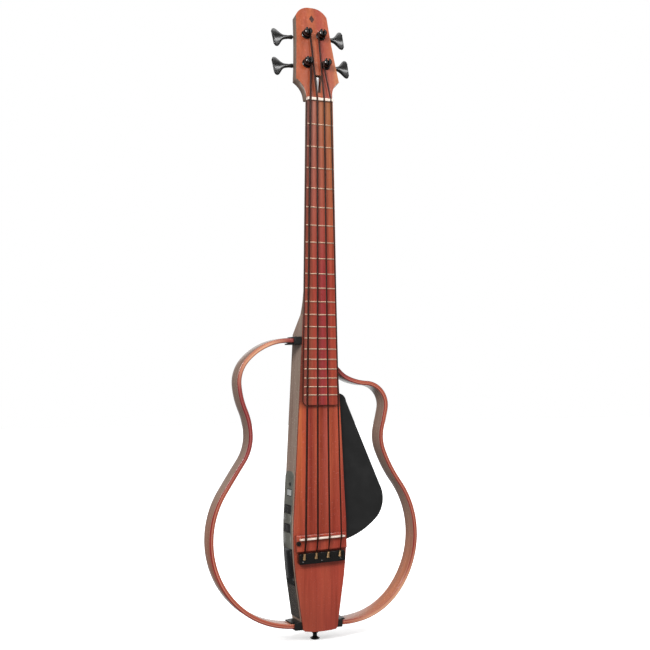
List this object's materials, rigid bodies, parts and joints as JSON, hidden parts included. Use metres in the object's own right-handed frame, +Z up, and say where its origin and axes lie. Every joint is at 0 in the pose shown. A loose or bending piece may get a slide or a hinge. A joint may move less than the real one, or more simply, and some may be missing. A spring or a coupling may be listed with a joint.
{
  "type": "silent bass guitar",
  "caption": "Slim-bodied fretted silent bass guitar with bent-wood frame bows that plug into side sockets, worm-gear tuners, teardrop side plate and a side control panel.",
  "frame": {"origin": "centre of the end button's seat on the bottom of the body", "axes": "+Z up the neck towards the headstock, strings face -Y, +X to the right seen from the front"},
  "size_m": [0.3914, 0.0792, 1.1337],
  "materials": {
    "front_wood": "satin lacquer",
    "body_wood": "gloss lacquer",
    "neck_wood": "satin lacquer",
    "board_wood": "satin",
    "bow_wood": "satin lacquer",
    "bone": "polished",
    "fret_metal": "polished",
    "brass": "polished",
    "string_wrap": "tape wound",
    "black_hardware": "gloss black",
    "plate_plastic": "matte",
    "socket_plastic": "satin",
    "panel_plastic": "gloss",
    "door_plastic": "gloss",
    "cover_plastic": "gloss",
    "control_plastic": "satin",
    "display_glass": "clear window",
    "circuit_green": "satin",
    "battery_case": "gloss",
    "steel": "bright",
    "jack_metal": "plated",
    "pickup_metal": "satin",
    "wire_black": "satin",
    "inlay_dark": "satin"
  },
  "bodies": {
    "instrument": {"battery": "battery_case", "body_core": "body_wood", "bridge_base": "front_wood", "bridge_lock_bolt": "black_hardware", "circuit_board": "circuit_green", "control_panel": "panel_plastic", "display_window": "display_glass", "end_button": "black_hardware", "fretboard": "board_wood", "frets": "fret_metal", "front_board": "front_wood", "headstock_inlay": "inlay_dark", "heel_button": "black_hardware", "lower_side_cover": "cover_plastic", "neck": "neck_wood", "nut": "bone", "output_jack": "jack_metal", "pickup_strip": "pickup_metal", "saddle": "bone", "side_plate": "plate_plastic", "side_plate_brackets": "black_hardware", "side_plate_screws": "black_hardware", "socket_lower_left": "socket_plastic", "socket_lower_right": "socket_plastic", "socket_upper_left": "socket_plastic", "socket_upper_right": "socket_plastic", "string_a": "string_wrap", "string_ball_ends": "brass", "string_d": "string_wrap", "string_e": "string_wrap", "string_g": "string_wrap", "tailpiece": "black_hardware", "tailpiece_screws": "black_hardware", "truss_rod": "steel", "tuner_bushings": "black_hardware", "tuner_plates": "black_hardware", "tuner_screws": "black_hardware", "wheel_bezels": "control_plastic", "wiring": "wire_black"},
    "key_e": {"tuner_key_e": "black_hardware"},
    "post_e": {"tuner_post_e": "black_hardware"},
    "key_a": {"tuner_key_a": "black_hardware"},
    "post_a": {"tuner_post_a": "black_hardware"},
    "key_d": {"tuner_key_d": "black_hardware"},
    "post_d": {"tuner_post_d": "black_hardware"},
    "key_g": {"tuner_key_g": "black_hardware"},
    "post_g": {"tuner_post_g": "black_hardware"},
    "volume": {"volume_wheel": "control_plastic"},
    "tone": {"tone_wheel": "control_plastic"},
    "power": {"power_button": "control_plastic"},
    "battery_hatch": {"battery_door": "door_plastic"},
    "left_bow": {"left_frame": "bow_wood"},
    "right_bow": {"right_frame": "bow_wood"},
    "truss_nut": {"truss_rod_nut": "steel"},
    "clamp_lower_left": {"clamp_screw_lower_left": "black_hardware"},
    "clamp_lower_right": {"clamp_screw_lower_right": "black_hardware"},
    "clamp_upper_left": {"clamp_screw_upper_left": "black_hardware"},
    "clamp_upper_right": {"clamp_screw_upper_right": "black_hardware"}
  },
  "joints": [
    {"name": "key_turn_e", "type": "hinge", "parent": "instrument", "child": "key_e", "pos_m": [-0.01904, 0.01065, 1.00623], "axis": [0.9925, 0.0284, 0.1185], "continuous": true},
    {"name": "post_turn_e", "type": "hinge", "parent": "instrument", "child": "post_e", "pos_m": [-0.018, -0.01427, 1.00354], "axis": [0, -0.9724, 0.2334], "continuous": true},
    {"name": "key_turn_a", "type": "hinge", "parent": "instrument", "child": "key_a", "pos_m": [-0.01504, 0.02433, 1.06321], "axis": [0.9925, 0.0284, 0.1185], "continuous": true},
    {"name": "post_turn_a", "type": "hinge", "parent": "instrument", "child": "post_a", "pos_m": [-0.014, -0.00059, 1.06052], "axis": [0, -0.9724, 0.2334], "continuous": true},
    {"name": "key_turn_d", "type": "hinge", "parent": "instrument", "child": "key_d", "pos_m": [0.01375, 0.02434, 1.06327], "axis": [0.9996, 0.0069, 0.0288], "continuous": true},
    {"name": "post_turn_d", "type": "hinge", "parent": "instrument", "child": "post_d", "pos_m": [0.014, -0.00059, 1.06052], "axis": [0, -0.9724, 0.2334], "continuous": true},
    {"name": "key_turn_g", "type": "hinge", "parent": "instrument", "child": "key_g", "pos_m": [0.01775, 0.01067, 1.00629], "axis": [0.9996, 0.0069, 0.0288], "continuous": true},
    {"name": "post_turn_g", "type": "hinge", "parent": "instrument", "child": "post_g", "pos_m": [0.018, -0.01427, 1.00354], "axis": [0, -0.9724, 0.2334], "continuous": true},
    {"name": "volume_turn", "type": "hinge", "parent": "instrument", "child": "volume", "pos_m": [-0.03769, 0.002, 0.211], "axis": [0, 0, 1], "range_deg": [-135, 135]},
    {"name": "tone_turn", "type": "hinge", "parent": "instrument", "child": "tone", "pos_m": [-0.03905, 0.002, 0.178], "axis": [0, 0, 1], "range_deg": [-135, 135]},
    {"name": "power_press", "type": "slide", "parent": "instrument", "child": "power", "axis": [1, 0, 0], "range_m": [0, 0.0012], "stiffness_N_per_m": 400},
    {"name": "battery_door_swing", "type": "hinge", "parent": "instrument", "child": "battery_hatch", "pos_m": [-0.05093, 0.0245, 0.111], "axis": [0, 0, 1], "range_deg": [-100, 0]},
    {"name": "left_frame_pull", "type": "slide", "parent": "instrument", "child": "left_bow", "axis": [-1, 0, 0], "range_m": [0, 0.04]},
    {"name": "right_frame_pull", "type": "slide", "parent": "instrument", "child": "right_bow", "axis": [1, 0, 0], "range_m": [0, 0.04]},
    {"name": "clamp_turn_lower_left", "type": "hinge", "parent": "instrument", "child": "clamp_lower_left", "pos_m": [-0.041, 0.015, 0.011], "axis": [0, 1, 0], "range_deg": [0, 360]},
    {"name": "clamp_turn_lower_right", "type": "hinge", "parent": "instrument", "child": "clamp_lower_right", "pos_m": [0.0396, 0.015, 0.011], "axis": [0, 1, 0], "range_deg": [0, 360]},
    {"name": "clamp_turn_upper_left", "type": "hinge", "parent": "instrument", "child": "clamp_upper_left", "pos_m": [-0.041, 0.015, 0.5065], "axis": [0, 1, 0], "range_deg": [0, 360]},
    {"name": "clamp_turn_upper_right", "type": "hinge", "parent": "instrument", "child": "clamp_upper_right", "pos_m": [0.028, 0.027, 0.461], "axis": [0, 1, 0], "range_deg": [0, 360]},
    {"name": "truss_nut_turn", "type": "hinge", "parent": "instrument", "child": "truss_nut", "pos_m": [0, -0.0195, 0.96], "axis": [0, 0, 1], "range_deg": [-180, 180]}
  ],
  "couplings": [
    {"joint": "post_turn_e", "follows": "key_turn_e", "ratio": 0.0625},
    {"joint": "post_turn_a", "follows": "key_turn_a", "ratio": 0.0625},
    {"joint": "post_turn_d", "follows": "key_turn_d", "ratio": 0.0625},
    {"joint": "post_turn_g", "follows": "key_turn_g", "ratio": 0.0625}
  ]
}
